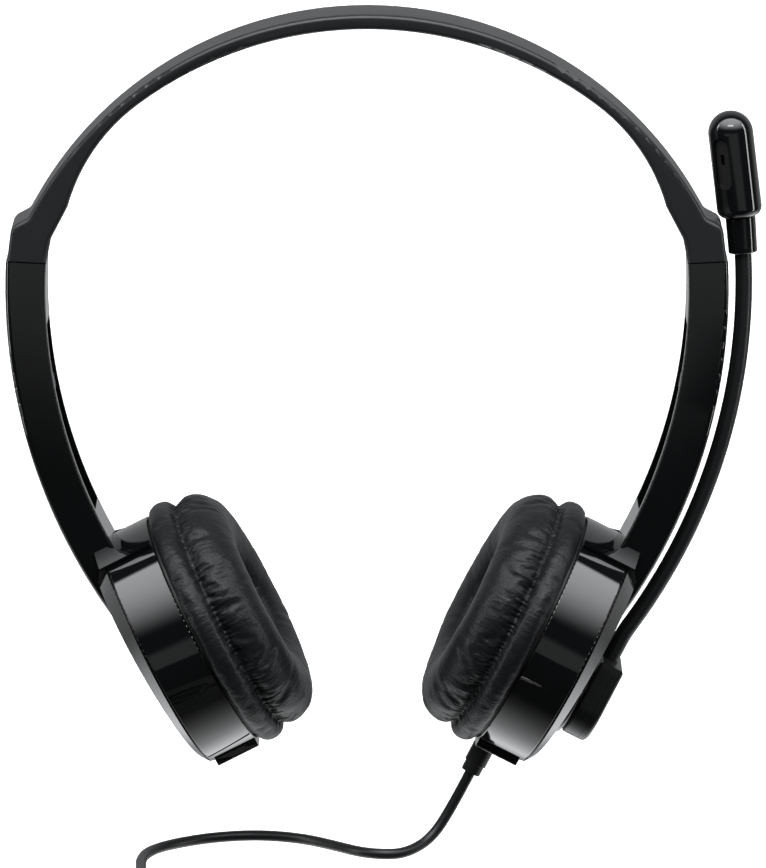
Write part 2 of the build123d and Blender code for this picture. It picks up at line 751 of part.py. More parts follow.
def make_mic_grille():
    band = mic_body(mic_radius - mic_slot_depth, 1.4, mic_radius - mic_slot_depth - 0.05, 0.6, mic_length - 0.6)
    band -= mic_body(mic_radius - mic_wall, 0.8, mic_radius - mic_wall - 0.05, mic_wall, mic_length - mic_wall)
    insert = band & slot_shape(mic_slot_length - 0.1, mic_slot_width - 0.1, 1, mic_radius + 1)
    port = Pos(0, 0, mic_length * 0.57) * Rot(0, 0, -90 - mic_slot_turn) * Pos(mic_radius, 0, 0)
    port = port * Rot(0, 90, 0) * extrude(SlotOverall(2.6, 1.0), amount=4, both=True)
    return insert - port


keep("mic_collar", make_collar())
mic_shell = make_mic_shell()
front_half = Pos(0, -25, mic_length / 2) * Box(50, 50, mic_length * 2)
back_half = Pos(0, 25, mic_length / 2) * Box(50, 50, mic_length * 2)
keep("mic_shell_front", mic_plane.location * (mic_shell - back_half))
keep("mic_shell_back", mic_plane.location * (mic_shell - front_half))
keep("mic_grille", mic_plane.location * make_mic_grille())
capsule = Rot(0, 0, -90 - mic_slot_turn) * Pos(0.9, 0, 0) * Rot(0, 90, 0) * Cylinder(3.0, 2.7)
keep("mic_capsule", mic_plane.location * Pos(0, 0, mic_length * 0.57) * capsule)


# ---- Cord, boot and plug ----

def make_boot():
    foot = cup_radius - cup_wall
    tip = (cup_centre - Vector(*boot_end)).dot(cup_up)
    base = cup_radius + pad_boss_height + fit_gap
    corners = [
        (0, foot), (boot_radius - 0.8, foot), (boot_radius - 0.8, base), (boot_radius, base),
        (boot_radius, tip - 2.4), (boot_tip_radius, tip - 2.2), (boot_tip_radius, tip), (0, tip),
    ]
    plane = Plane(origin=in_cup(0, boot_depth), x_dir=cup_in, z_dir=-cup_up)
    return plane.location * turned(corners)


def rounded_path(route):
    points = [Vector(*point) for point in route]
    radii = []
    for before, here, after in zip(points, points[1:], points[2:]):
        first = here - before
        second = after - here
        half_turn = radians(first.get_angle(second)) / 2
        radii.append(0.45 * min(first.length, second.length) / tan(half_turn))
    print("cord radii", [round(radius, 1) for radius in radii])
    return FilletPolyline(*points, radius=radii)


def tube(route):
    path = rounded_path(route)
    plane = Plane(origin=route[0], z_dir=path % 0)
    body = sweep(Face(Wire(Edge.make_circle(cord_radius, plane=plane))), path=path)
    share = body.volume / (pi * cord_radius ** 2 * path.length)
    print("cord run", round(path.length, 1), "volume share", round(share, 4))
    return body


coil_middle = Vector(coil_centre[0], coil_centre[1], floor_height + coil_height / 2)
coil = Pos(*coil_middle) * (Cylinder(coil_outer, coil_height) - Cylinder(coil_inner, coil_height + 2))
coil = fillet(coil.edges().filter_by(GeomType.CIRCLE), cord_radius)
tie_reach = (coil_outer + coil_inner) / 2
tie_size = (coil_outer - coil_inner + 2.4, 6.0, coil_height + 1.6)
tie = Box(*tie_size) - Box(tie_size[0] - 1.6, 8.0, tie_size[2] - 1.4)
tie = Pos(coil_centre[0] + tie_reach, coil_centre[1], coil_middle.Z) * tie
tie -= Pos(coil_centre[0], coil_centre[1], floor_height - 10) * Box(200, 200, 20)
keep("cord_boot", make_boot())
keep("cord", as_group([tube(cord_route) - coil, tube(tail_route) - coil]))
keep("cord_coil", coil)
keep("cord_tie", tie - coil)

plug_start = Vector(*tail_route[-1])
plug_way = (plug_start - Vector(*tail_route[-2])).normalized()
plug_plane = Plane(origin=plug_start, z_dir=plug_way)
grip_corners = [
    (0, 0), (cord_radius + 0.7, 0), (cord_radius + 1.0, 5.0), (plug_radius - 0.5, 6.5), (plug_radius, 8.0),
    (plug_radius, plug_grip_length - 0.8), (plug_radius - 0.8, plug_grip_length), (0, plug_grip_length),
]
keep("plug_grip", plug_plane.location * turned(grip_corners))
pin_end = plug_grip_length + plug_pin_length
pin_corners = [
    (0, plug_grip_length), (plug_pin_radius + 0.8, plug_grip_length),
    (plug_pin_radius + 0.8, plug_grip_length + 0.9), (plug_pin_radius, plug_grip_length + 0.9),
    (plug_pin_radius, pin_end - 3.4), (plug_pin_radius - 0.55, pin_end - 2.6),
    (plug_pin_radius - 0.1, pin_end - 1.7), (0.5, pin_end), (0, pin_end),
]
keep("plug_pin", plug_plane.location * turned(pin_corners))

os.makedirs("parts", exist_ok=True)
for name, shape in pieces.items():
    export_step(shape, "parts/" + name + ".step")
print(len(pieces), "pieces; arm axis", arm_centre, "cup", cup_centre, "pivot", in_cup(pivot_up, 0))
print("plug", plug_start, plug_way)
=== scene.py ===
import json
import math
import bpy
import bmesh
from mathutils import Matrix, Vector, noise


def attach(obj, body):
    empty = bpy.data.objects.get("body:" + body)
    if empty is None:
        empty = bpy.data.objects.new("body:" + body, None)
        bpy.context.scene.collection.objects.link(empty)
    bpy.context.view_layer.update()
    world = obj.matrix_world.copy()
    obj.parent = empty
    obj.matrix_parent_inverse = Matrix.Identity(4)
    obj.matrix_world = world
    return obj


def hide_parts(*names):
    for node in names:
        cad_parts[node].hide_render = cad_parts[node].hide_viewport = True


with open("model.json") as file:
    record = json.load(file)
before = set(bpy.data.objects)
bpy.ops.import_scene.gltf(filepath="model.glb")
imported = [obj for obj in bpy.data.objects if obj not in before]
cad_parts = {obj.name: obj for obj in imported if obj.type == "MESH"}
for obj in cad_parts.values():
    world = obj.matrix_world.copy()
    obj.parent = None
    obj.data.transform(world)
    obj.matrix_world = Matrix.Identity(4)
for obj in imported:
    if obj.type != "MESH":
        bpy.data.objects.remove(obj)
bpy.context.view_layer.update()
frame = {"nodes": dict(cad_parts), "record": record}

scene = bpy.context.scene
millimetre = 0.001
slotOf = {part["node"]: part["material_slot"] for part in frame["record"]["subparts"]}
print("model loaded:", len(frame["nodes"]), "nodes")


# camera, light and stage

studio = {
    "aim": (3.65, 0.0, -94.7),       # the point in the middle of the frame, mm
    "distance": 2000.0,
    "elevation": 10.5,
    "lens": 361.5,
    "floor": -213.45,
    "floorSpan": 9.0,
    "domeRadius": 12.0,
    "pale": (0.93, 0.93, 0.935, 1.0),
    "floorGlow": 0.62,
    "air": (0.97, 0.985, 1.0, 1.0),
    "overhead": 4.2,                 # brightness of the room overhead, in front
    "behind": 0.35,                  # of the white wall behind
    "under": 1.5,                    # of the white table
    "ahead": 0.22,                   # of the low card behind the camera
    "dark": 0.02,
}
softboxes = {
    # name: place (m), size (m), power (W)
    "leftStrip": ((-1.3, -0.25, 0.1), (0.16, 1.6), 5.0),
    "rightStrip": ((1.3, -0.25, 0.1), (0.16, 1.6), 5.0),
    "keyBox": ((0.0, -1.2, 1.2), (0.9, 0.25), 5.0),
}


def makeCamera():
    lift = math.radians(studio["elevation"])
    aim = Vector(studio["aim"]) * millimetre
    back = Vector((0, -math.cos(lift), math.sin(lift)))
    camera = bpy.data.objects.new("camera", bpy.data.cameras.new("camera"))
    camera.data.lens = studio["lens"]
    camera.data.sensor_width = 36.0
    camera.data.clip_start = 0.02
    camera.data.clip_end = 60.0
    camera.location = aim + back * studio["distance"] * millimetre
    camera.rotation_euler = (-back).to_track_quat("-Z", "Y").to_euler()
    scene.collection.objects.link(camera)
    scene.camera = camera


def makeLights():
    middle = Vector((0, 0, -0.1))
    for name, (place, size, power) in softboxes.items():
        light = bpy.data.lights.new(name, "AREA")
        light.shape = "RECTANGLE"
        light.size, light.size_y = size
        light.energy = power
        lamp = bpy.data.objects.new(name, light)
        lamp.location = place
        lamp.rotation_euler = (middle - Vector(place)).to_track_quat("-Z", "Y").to_euler()
        lamp.visible_camera = False
        scene.collection.objects.link(lamp)


makeCamera()
makeLights()


# shader and mesh helpers

class Value:
    # one socket of a node tree; sums on it add Math nodes
    def __init__(self, tree, socket):
        self.tree = tree
        self.socket = socket

    def maths(self, operation, first, second):
        return self.tree.add("ShaderNodeMath", {"operation": operation}, {0: first, 1: second})

    def __add__(self, other):
        return self.maths("ADD", self, other)

    def __sub__(self, other):
        return self.maths("SUBTRACT", self, other)

    def __rsub__(self, other):
        return self.maths("SUBTRACT", other, self)

    def __mul__(self, other):
        return self.maths("MULTIPLY", self, other)

    __radd__ = __add__
    __rmul__ = __mul__


class Nodes:
    # a tree of shader nodes: add() makes any node
    def __init__(self, tree):
        self.tree = tree

    def add(self, kind, settings=None, inputs=None, output=0):
        node = self.tree.nodes.new(kind)
        for key, value in (settings or {}).items():
            setattr(node, key, value)
        for key, value in (inputs or {}).items():
            self.feed(node.inputs[key], value)
        return Value(self, node.outputs[output])

    def feed(self, socket, value):
        if isinstance(value, Value):
            self.tree.links.new(value.socket, socket)
        else:
            socket.default_value = value

    def smooth(self, value, low, high):
        # 0 at low and 1 at high, eased at both ends; low may be the larger
        return self.add("ShaderNodeMapRange", {"interpolation_type": "SMOOTHSTEP"}, {
            0: value, 1: low, 2: high})


class Finish(Nodes):
    # one material: shade() feeds its surface shader
    def __init__(self, name, **constants):
        self.material = bpy.data.materials.new(name)
        self.material.use_nodes = True
        super().__init__(self.material.node_tree)
        self.shader = self.tree.nodes["Principled BSDF"]
        self.shade(constants)

    def shade(self, sockets):
        for key, value in sockets.items():
            self.feed(self.shader.inputs[key.replace("_", " ")], value)

    def place(self):
        return self.add("ShaderNodeTexCoord", output="Object")

    def cloud(self, where, scale, detail=2.0, rough=0.5):
        return self.add("ShaderNodeTexNoise", None, {
            "Vector": where, "Scale": scale, "Detail": detail, "Roughness": rough})

    def mix(self, factor, first, second):
        return self.add("ShaderNodeMix", {"data_type": "RGBA"}, {0: factor, 6: first, 7: second}, 2)

    def stretch(self, where, amounts):
        return self.add("ShaderNodeVectorMath", {"operation": "MULTIPLY"}, {0: where, 1: amounts})

    def bump(self, height, depth, strength):
        return self.add("ShaderNodeBump", None, {
            "Height": height, "Distance": depth * millimetre, "Strength": strength})


def tone(value, tint=0.0):
    return (value * (1 - tint), value, value * (1 + tint), 1.0)


def meshObject(name, vertices, faces, smooth=True):
    mesh = bpy.data.meshes.new(name)
    mesh.from_pydata([Vector(v) * millimetre for v in vertices], [], faces)
    mesh.validate()
    thing = bpy.data.objects.new(name, mesh)
    scene.collection.objects.link(thing)
    for face in mesh.polygons:
        face.use_smooth = smooth
    return thing


def turnOutwards(thing):
    work = bmesh.new()
    work.from_mesh(thing.data)
    bmesh.ops.remove_doubles(work, verts=work.verts, dist=1e-7)
    bmesh.ops.recalc_face_normals(work, faces=work.faces)
    work.to_mesh(thing.data)
    work.free()


def lathe(name, profile, steps, matrix):
    # profile of (radius, height) in mm, turned about the matrix's own Z
    vertices = []
    faces = []
    for step in range(steps):
        turn = 2 * math.pi * step / steps
        for radius, height in profile:
            vertices.append(matrix @ Vector((radius * math.cos(turn), radius * math.sin(turn), height)))
    count = len(profile)
    for step in range(steps):
        after = (step + 1) % steps
        for index in range(count - 1):
            faces.append((step * count + index, after * count + index, after * count + index + 1,
                          step * count + index + 1))
    thing = meshObject(name, vertices, faces)
    turnOutwards(thing)
    return thing


def axes(origin, xWay, zWay):
    zWay = Vector(zWay).normalized()
    xWay = Vector(xWay)
    xWay = (xWay - zWay * xWay.dot(zWay)).normalized()
    yWay = zWay.cross(xWay)
    turn = Matrix((xWay, yWay, zWay)).transposed().to_4x4()
    return Matrix.Translation(Vector(origin)) @ turn


# finishes

def moulded(name, dark, light, rough, grain, depth):
    finish = Finish(name, Specular_IOR_Level=0.5)
    place = finish.place()
    cloud = finish.cloud(place, 38.0, 3.0)
    pores = finish.cloud(place, grain, 3.0, 0.6)
    finish.shade({
        "Base Color": finish.mix(cloud * 0.7 + pores * 0.3, dark, light),
        "Roughness": rough + (cloud - 0.5) * 0.1 + (pores - 0.5) * 0.08,
        "Normal": finish.bump(pores, depth, 0.6),
    })
    return finish.material


def polished(name, dark, light, rough, coat):
    finish = Finish(name, Coat_Roughness=0.03, Specular_IOR_Level=0.5)
    place = finish.place()
    cloud = finish.cloud(place, 60.0, 4.0)
    smear = finish.cloud(finish.stretch(place, (240.0, 240.0, 60.0)), 1.0, 3.0, 0.65)
    finish.shade({
        "Base Color": finish.mix(cloud, dark, light),
        "Roughness": rough + smear * 0.035,
        "Coat Weight": coat - cloud * 0.12,
        "Normal": finish.bump(cloud, 0.004, 0.25),
    })
    return finish.material


def rubber(name, dark, light, rough, grain, depth):
    finish = Finish(name, Specular_IOR_Level=0.42)
    place = finish.place()
    cloud = finish.cloud(place, 70.0, 3.0)
    skin = finish.cloud(place, grain, 4.0, 0.62)
    finish.shade({
        "Base Color": finish.mix(skin, dark, light),
        "Roughness": rough + (cloud - 0.5) * 0.12,
        "Normal": finish.bump(skin, depth, 0.5),
    })
    return finish.material


def metal(name, dark, light, rough, lines):
    finish = Finish(name, Metallic=1.0)
    place = finish.place()
    brush = finish.cloud(finish.stretch(place, lines), 1.0, 4.0, 0.7)
    cloud = finish.cloud(place, 160.0)
    finish.shade({
        "Base Color": finish.mix(brush * 0.5 + cloud * 0.5, dark, light),
        "Roughness": rough + brush * 0.14,
        "Normal": finish.bump(brush, 0.006, 0.3),
    })
    return finish.material


def woven(name, dark, light, pitch, depth, attribute):
    # over-and-under weave on the piece's own flat coordinates, pitch in mm
    finish = Finish(name, Specular_IOR_Level=0.25, Sheen_Weight=0.15)
    flat = finish.add("ShaderNodeAttribute", {"attribute_name": attribute}, output="Vector")
    turned = finish.stretch(flat, (2 * math.pi / pitch * 1000, 2 * math.pi / pitch * 1000, 0.0))
    across = finish.add("ShaderNodeSeparateXYZ", None, {0: turned})
    along = Value(finish, across.socket.node.outputs[1])
    warp = finish.add("ShaderNodeMath", {"operation": "SINE"}, {0: across})
    weft = finish.add("ShaderNodeMath", {"operation": "SINE"}, {0: along})
    weave = warp * weft * 0.5 + 0.5
    fluff = finish.cloud(finish.place(), 2600.0, 3.0, 0.7)
    finish.shade({
        "Base Color": finish.mix(weave * 0.6 + fluff * 0.4, dark, light),
        "Roughness": 0.72 + fluff * 0.18,
        "Normal": finish.bump(weave * 0.8 + fluff * 0.2, depth, 0.9),
    })
    return finish.material


def leather():
    finish = Finish("leatherette", Specular_IOR_Level=0.22)
    along = finish.add("ShaderNodeAttribute", {"attribute_name": "grain"}, output="Vector")
    place = finish.place()
    cross = finish.cloud(finish.stretch(along, (1500.0, 1500.0, 260.0)), 1.0, 4.0, 0.6)
    crease = finish.cloud(finish.stretch(along, (520.0, 520.0, 110.0)), 1.0, 3.0, 0.55)
    pebble = finish.add("ShaderNodeTexVoronoi", {"feature": "SMOOTH_F1"}, {
        "Vector": place, "Scale": 1700.0, "Smoothness": 0.6})
    cloud = finish.cloud(place, 120.0, 3.0)
    height = cross * 0.5 + crease * 0.35 + pebble * 0.25
    finish.shade({
        "Base Color": finish.mix(cross * 0.6 + cloud * 0.4, tone(0.006, 0.1), tone(0.014, 0.1)),
        "Roughness": 0.23 + cloud * 0.08 + cross * 0.14,
        "Normal": finish.bump(height, 0.3, 0.85),
    })
    return finish.material


finishes = {
    "band_plastic": moulded("bandPlastic", tone(0.014, 0.06), tone(0.022, 0.06), 0.33, 2600.0, 0.02),
    "inner_plastic": moulded("innerPlastic", tone(0.012), tone(0.02), 0.42, 1800.0, 0.03),
    "boom_plastic": moulded("boomPlastic", tone(0.008, 0.05), tone(0.014, 0.05), 0.3, 2400.0, 0.015),
    "film": moulded("coneFilm", (0.42, 0.4, 0.35, 1), (0.56, 0.54, 0.48, 1), 0.3, 900.0, 0.02),
    "board": moulded("solderMask", (0.01, 0.09, 0.04, 1), (0.02, 0.14, 0.06, 1), 0.28, 1200.0, 0.02),
    "gloss_shell": polished("pianoBlack", tone(0.002, 0.1), tone(0.0045, 0.1), 0.035, 0.9),
    "mic_gloss": polished("micGloss", tone(0.003, 0.1), tone(0.006, 0.1), 0.06, 0.7),
    "leatherette": leather(),
    "mesh_cloth": woven("scrim", tone(0.003), tone(0.02), 0.7, 0.12, "flat"),
    "tie_strap": woven("strapWeave", tone(0.006), tone(0.024), 0.9, 0.1, "flat"),
    "steel": metal("platedSteel", (0.42, 0.42, 0.44, 1), (0.62, 0.62, 0.64, 1), 0.2, (900.0, 900.0, 900.0)),
    "magnet": metal("zincPlate", (0.4, 0.4, 0.43, 1), (0.56, 0.56, 0.58, 1), 0.28, (400.0, 400.0, 1500.0)),
    "copper": metal("winding", (0.5, 0.2, 0.09, 1), (0.75, 0.36, 0.18, 1), 0.25, (300.0, 300.0, 6000.0)),
    "capsule_metal": metal("canAluminium", (0.55, 0.55, 0.56, 1), (0.7, 0.7, 0.71, 1), 0.25,
                           (600.0, 600.0, 2500.0)),
    "plug_metal": metal("nickel", (0.6, 0.58, 0.54, 1), (0.75, 0.73, 0.69, 1), 0.12, (2200.0, 300.0, 2200.0)),
    "wire_jacket": rubber("wireJacket", tone(0.01), tone(0.02), 0.4, 2200.0, 0.02),
    "boom_rubber": rubber("boomSleeve", tone(0.009, 0.06), tone(0.015, 0.06), 0.33, 2600.0, 0.02),
    "cord_jacket": rubber("cordJacket", tone(0.008, 0.06), tone(0.014, 0.06), 0.34, 2400.0, 0.02),
    "boot_rubber": rubber("bootRubber", tone(0.008, 0.06), tone(0.015, 0.06), 0.38, 2000.0, 0.03),
}
for name, node in frame["nodes"].items():
    for place in node.material_slots:
        place.material = finishes[slotOf[name]]
print("finishes made:", len(finishes))


def dress(thing, slotName, body):
    thing.data.materials.clear()
    thing.data.materials.append(finishes[slotName])
    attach(thing, body)
    return thing


def solidMesh(thing):
    # the piece as its modifiers leave it, with none of them kept
    mesh = bpy.data.meshes.new_from_object(thing.evaluated_get(bpy.context.evaluated_depsgraph_get()))
    thing.modifiers.clear()
    thing.data = mesh
    return thing


# shells, with their triangles joined so that gloss runs smoothly over them

shellSizes = {"join": 2e-6, "crease": 26.0}
shellNodes = {
    "band": ["headband", "headband_liner", "slider_tongue_l", "slider_tongue_r"],
    "arm_l": ["arm_shell_l", "cup_housing_l", "slide_retainer_l"],
    "arm_r": ["arm_shell_r", "cup_housing_r", "slide_retainer_r", "boom_hub", "cord_boot"],
    "boom": ["boom_rotor", "rotor_cover", "boom_tube", "mic_collar", "mic_shell_front", "mic_shell_back",
             "mic_grille"],
}


def makeShell(node, body):
    shell = bpy.data.objects.new(node + "_skin", frame["nodes"][node].data.copy())
    scene.collection.objects.link(shell)
    work = bmesh.new()
    work.from_mesh(shell.data)
    bmesh.ops.remove_doubles(work, verts=work.verts, dist=shellSizes["join"])
    work.to_mesh(shell.data)
    work.free()
    if "custom_normal" in shell.data.attributes:
        shell.data.attributes.remove(shell.data.attributes["custom_normal"])
    for face in shell.data.polygons:
        face.use_smooth = True
    shell.data.set_sharp_from_angle(angle=math.radians(shellSizes["crease"]))
    evened = shell.modifiers.new("evened", "WEIGHTED_NORMAL")
    evened.keep_sharp = True
    solidMesh(shell)
    dress(shell, slotOf[node], body)
    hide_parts(node)
    return shell


shells = {node: makeShell(node, body) for body, nodes in shellNodes.items() for node in nodes}
print("shells joined:", len(shells))


# stage

def makeStage():
    pale = Finish("paleStage", Roughness=0.9, Specular_IOR_Level=0.1)
    pale.shade({"Base Color": studio["pale"], "Emission Color": studio["pale"],
                "Emission Strength": studio["floorGlow"]})
    glow = Finish("backdrop", Roughness=1.0, Specular_IOR_Level=0.0)
    glow.shade({"Base Color": tone(0.0), "Emission Color": tone(1.0), "Emission Strength": 1.0})
    half = studio["floorSpan"] / 2 / millimetre
    low = studio["floor"]
    corners = [(-half, -half, low), (half, -half, low), (half, half, low), (-half, half, low)]
    floor = meshObject("floor", corners, [(0, 1, 2, 3)], False)
    floor.data.materials.append(pale.material)
    bpy.ops.mesh.primitive_uv_sphere_add(segments=64, ring_count=32, radius=studio["domeRadius"])
    dome = bpy.context.object
    dome.name = "backdrop"
    dome.data.materials.append(glow.material)
    for thing in (floor, dome):
        thing.visible_glossy = False
        thing.visible_shadow = False
    dome.visible_diffuse = False
    dome.visible_transmission = False
    floor.visible_diffuse = False
    world = bpy.data.worlds.new("studio")
    world.use_nodes = True
    scene.world = world
    room = Nodes(world.node_tree)
    way = room.add("ShaderNodeTexCoord", output="Generated")
    split = room.add("ShaderNodeSeparateXYZ", None, {0: way})
    yWay = Value(room, split.socket.node.outputs[1])
    zWay = Value(room, split.socket.node.outputs[2])
    # each surface that the gloss mirrors is a range of directions
    overhead = room.smooth(zWay, 0.3, 0.93) * room.smooth(yWay, 0.0, -0.07) * studio["overhead"]
    behind = room.smooth(yWay, 0.1, 0.6) * studio["behind"]
    under = room.smooth(yWay, -0.62, 0.5) * room.smooth(yWay, 0.9, 0.6)
    under = under * room.smooth(zWay, -0.35, -0.7) * studio["under"]
    ahead = room.smooth(zWay, -0.186, -0.162) * room.smooth(zWay, 0.12, 0.0)
    ahead = ahead * room.smooth(yWay, -0.75, -0.9) * studio["ahead"]
    light = overhead + behind + under + ahead + studio["dark"]
    room.feed(world.node_tree.nodes["Background"].inputs[1], light)
    world.node_tree.nodes["Background"].inputs[0].default_value = studio["air"]
    scene.view_settings.view_transform = "Standard"


makeStage()
print("stage and light made")


# cord

cordSizes = {
    "radius": 1.25,
    "length": 1800.0,
    "floor": -193.25,
    "coilMiddle": (-31.0, -73.0),
    "pointsPerTurn": 16,
    "firstAngle": 166.0,
    # each run of the winding: turns, radius from and to, height from and to
    "winding": [
        (5.0, 21.25, 8.75, 0.0, 0.0),
        (0.4, 8.75, 8.75, 0.0, 2.5),
        (5.0, 8.75, 21.25, 2.5, 2.5),
        (0.4, 21.25, 21.25, 2.5, 5.0),
        (4.9, 21.25, 9.0, 5.0, 5.0),
    ],
    # the last turn crosses the top and comes down outside: angle, radius, height
    "crossing": [(78, 9.1, 5.8), (102, 9.8, 7.2), (126, 11.6, 7.6), (148, 14.0, 7.6), (170, 16.6, 7.6),
                 (192, 19.2, 7.6), (212, 21.8, 7.6), (227, 24.0, 6.3), (240, 24.7, 3.2), (252, 24.6, 0.9),
                 (264, 24.5, 0.0)],
}
leadRoute = [
    (23.8703, 0.0, -174.0507), (19.7844, 0.0, -182.0698), (14.9, -1.4, -189.6),
    (9.0, -6.0, -192.0), (3.5, -7.2, -192.0), (-2.0, -4.6, -192.0), (-7.4, 1.6, -192.0),
    (-15.2, 9.2, -192.0), (-25.4, 12.8, -192.0), (-35.6, 10.3, -192.0), (-43.9, 4.6, -192.0),
    (-49.9, -2.4, -192.0), (-52.3, -12.0, -192.0), (-51.4, -27.0, -192.0), (-52.6, -42.5, -192.0),
    (-53.2, -54.5, -192.0),
]
tailRoute = [(-27.0, -98.0, -192.0), (-20.6, -97.8, -191.6), (-12.5, -96.6, -189.75), (-4.5, -94.6, -189.75)]


def onCoil(angle, radius, height):
    middle = cordSizes["coilMiddle"]
    turn = math.radians(angle)
    low = cordSizes["floor"] + cordSizes["radius"]
    return (middle[0] + radius * math.cos(turn), middle[1] + radius * math.sin(turn), low + height)


def windCoil():
    perTurn = cordSizes["pointsPerTurn"]
    swell = 1 / math.cos(math.pi / perTurn)
    points = []
    angle = cordSizes["firstAngle"]
    for turns, fromRadius, toRadius, fromHeight, toHeight in cordSizes["winding"]:
        count = round(turns * perTurn)
        for step in range(count):
            share = step / count
            radius = fromRadius + (toRadius - fromRadius) * share
            height = fromHeight + (toHeight - fromHeight) * share
            points.append(onCoil(angle, radius * swell, height))
            angle += 360.0 * turns / count
    return points


def makeCord():
    route = leadRoute + windCoil() + [onCoil(*stop) for stop in cordSizes["crossing"]] + tailRoute
    curve = bpy.data.curves.new("cordJacket", "CURVE")
    curve.dimensions = "3D"
    curve.resolution_u = 5
    curve.bevel_depth = cordSizes["radius"] * millimetre
    curve.bevel_resolution = 3
    curve.use_fill_caps = True
    line = curve.splines.new("NURBS")
    line.points.add(len(route) - 1)
    for point, place in zip(line.points, route):
        point.co = (*[value * millimetre for value in place], 1.0)
    line.order_u = 3
    line.use_endpoint_u = True
    cord = bpy.data.objects.new("cordJacket", curve)
    scene.collection.objects.link(cord)
    dress(cord, "cord_jacket", "arm_r")
    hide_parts("cord", "cord_coil")
    return cord


cord = makeCord()


def makePlug():
    start = Vector(tailRoute[-1])
    way = (start - Vector(tailRoute[-2])).normalized()
    place = axes(start, (0, 0, 1), way)
    ribs = []
    for index in range(5):
        low = 0.9 + index * 1.05
        rib = 2.05 + index * 0.1
        ribs += [(1.65 + index * 0.09, low), (rib, low + 0.12), (rib, low + 0.55),
                 (1.7 + index * 0.09, low + 0.7)]
    grip = [(0.0, 0.0), (1.7, 0.0), (1.9, 0.2)] + ribs + [
        (2.9, 6.6), (3.3, 7.1), (3.45, 7.8), (3.5, 8.4), (3.5, 17.6), (3.44, 18.2), (3.2, 18.8), (2.7, 19.0),
        (0.0, 19.0)]
    gripPiece = lathe("plugGrip", grip, 48, place)
    pin = [(0.0, 19.05), (2.55, 19.05), (2.55, 19.9), (1.75, 19.95), (1.75, 23.0), (1.66, 23.05),
           (1.66, 23.75), (1.75, 23.8), (1.75, 26.2), (1.66, 26.25), (1.66, 26.95), (1.75, 27.0),
           (1.75, 29.2), (1.7, 29.6), (1.2, 30.4), (1.3, 30.75), (1.65, 31.3), (1.5, 31.9), (0.9, 32.7),
           (0.5, 33.0), (0.0, 33.0)]
    pinPiece = lathe("plugPin", pin, 48, place)
    for thing, slotName, node in ((gripPiece, "boot_rubber", "plug_grip"),
                                  (pinPiece, "plug_metal", "plug_pin")):
        creaseEdges(thing)
        dress(thing, slotName, "arm_r")
        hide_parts(node)
    return gripPiece, pinPiece


def creaseEdges(thing, angle=35.0):
    thing.data.set_sharp_from_angle(angle=math.radians(angle))


def makeTie():
    # the strap's section through one side of the coil, with rounded corners
    sizes = {"inner": 6.3, "outer": 23.7, "low": -193.2, "high": -184.9, "width": 6.0, "thick": 0.7,
             "corner": 2.2, "lap": 1.05}
    middle = cordSizes["coilMiddle"]
    outline = []
    left, right = middle[0] + sizes["inner"], middle[0] + sizes["outer"]
    corner = sizes["corner"]
    top, foot = sizes["high"] - corner, sizes["low"] + corner
    for cx, cz, start in ((right - corner, top, 0), (left + corner, top, 90),
                          (left + corner, foot, 180), (right - corner, foot, 270)):
        for step in range(9):
            turn = math.radians(start + step * 90 / 8)
            outline.append((cx, cz, math.cos(turn), math.sin(turn)))
    vertices = []
    flats = []
    travel = 0.0
    previous = None
    for cx, cz, ux, uz in outline + outline[:3]:
        spot = Vector((cx + ux * corner, cz + uz * corner))
        travel += (spot - previous).length if previous is not None else 0.0
        previous = spot
        lap = sizes["thick"] * sizes["lap"] if len(vertices) // 4 >= len(outline) else 0.0
        for across in (-0.5, 0.5):
            for depth in (0.0, sizes["thick"]):
                reach = corner - depth + lap
                vertices.append((cx + ux * reach, middle[1] + across * sizes["width"], cz + uz * reach))
                flats.append((travel * millimetre, across * sizes["width"] * millimetre, 0.0))
    faces = []
    rows = len(vertices) // 4
    for row in range(rows - 1):
        a, b = row * 4, row * 4 + 4
        faces += [(a, b, b + 2, a + 2), (a + 1, a + 3, b + 3, b + 1), (a, a + 1, b + 1, b),
                  (a + 2, b + 2, b + 3, a + 3)]
    faces += [(0, 2, 3, 1), (rows * 4 - 4, rows * 4 - 3, rows * 4 - 1, rows * 4 - 2)]
    tie = meshObject("cordTie", vertices, faces)
    flat = tie.data.attributes.new("flat", "FLOAT_VECTOR", "POINT")
    for index, value in enumerate(flats):
        flat.data[index].vector = value
    creaseEdges(tie)
    dress(tie, "tie_strap", "arm_r")
    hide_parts("cord_tie")
    return tie


plugGrip, plugPin = makePlug()
cordTie = makeTie()
print("cord laid")


# ear cushions

